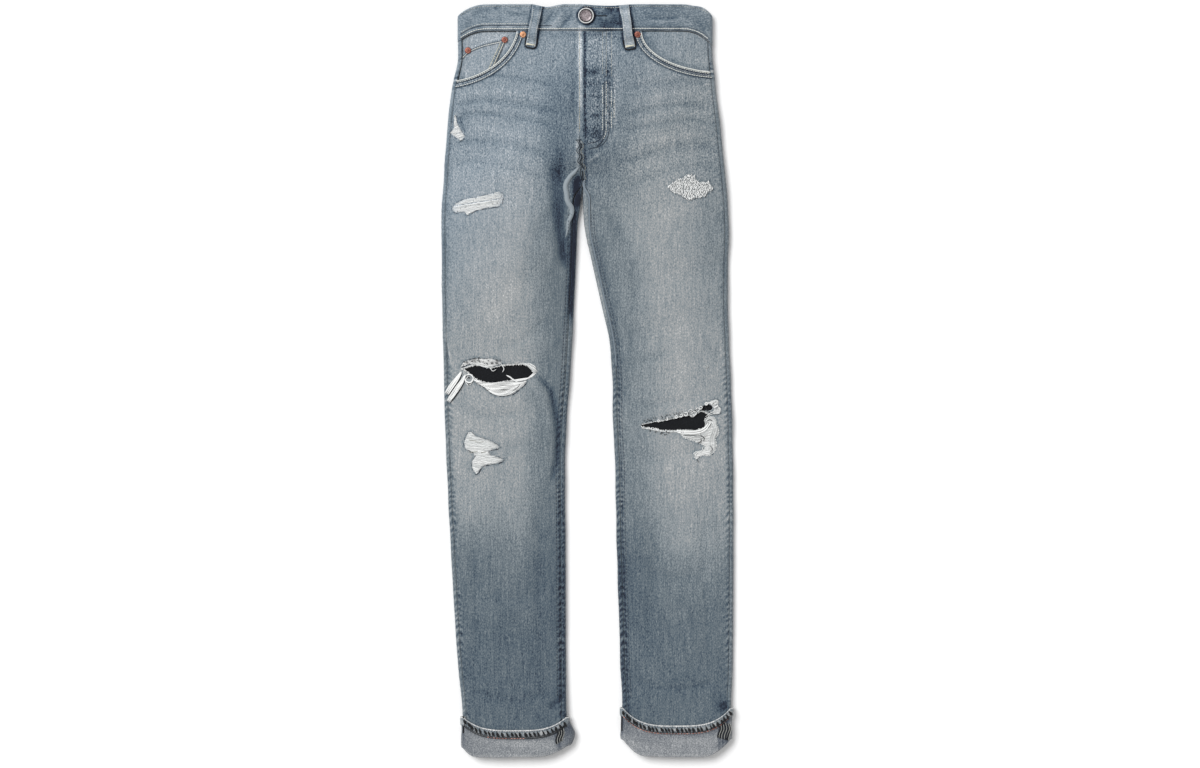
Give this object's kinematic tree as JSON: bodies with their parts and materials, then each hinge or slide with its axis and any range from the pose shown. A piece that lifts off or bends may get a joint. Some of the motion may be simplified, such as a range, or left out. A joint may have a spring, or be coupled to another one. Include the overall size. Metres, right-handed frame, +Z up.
{
  "type": "ripped jeans",
  "caption": "Straight-leg blue jeans with ripped and patched knees and turned-up cuffs, lying flat on their back.",
  "frame": {"origin": "on the surface the jeans lie on, under the middle of their outline", "axes": "+Z up out of the front of the jeans, +Y from the cuffs to the waist, +X towards the wearer's left leg"},
  "size_m": [0.4187, 1.0785, 0.0247],
  "materials": {
    "front_denim": "washed mid-blue twill, faded on thighs and knees",
    "back_denim": "washed mid-blue twill",
    "waistband_denim": "washed mid-blue twill, doubled",
    "inside_denim": "pale inside of the twill",
    "black_backing": "plain black cotton",
    "button_metal": "aged grey",
    "copper": "worn copper"
  },
  "bodies": {
    "root": {"back_left": "back_denim", "back_pocket_left": "back_denim", "back_pocket_right": "back_denim", "back_right": "back_denim", "backing_patch_left": "black_backing", "backing_patch_right": "black_backing", "belt_loop_back_centre": "waistband_denim", "belt_loop_back_left": "waistband_denim", "belt_loop_back_right": "waistband_denim", "belt_loop_front_left": "waistband_denim", "belt_loop_front_right": "waistband_denim", "coin_pocket": "front_denim", "cuff_left": "inside_denim", "cuff_right": "inside_denim", "front_left": "front_denim", "front_right": "front_denim", "hem_left": "front_denim", "hem_right": "front_denim", "pocket_facing_left": "front_denim", "pocket_facing_right": "front_denim", "rivet_coin_inner": "copper", "rivet_coin_outer": "copper", "rivet_front_left": "copper", "rivet_front_right": "copper", "waist_button": "button_metal", "waistband": "waistband_denim", "yoke_left": "back_denim", "yoke_right": "back_denim"}
  },
  "joints": []
}
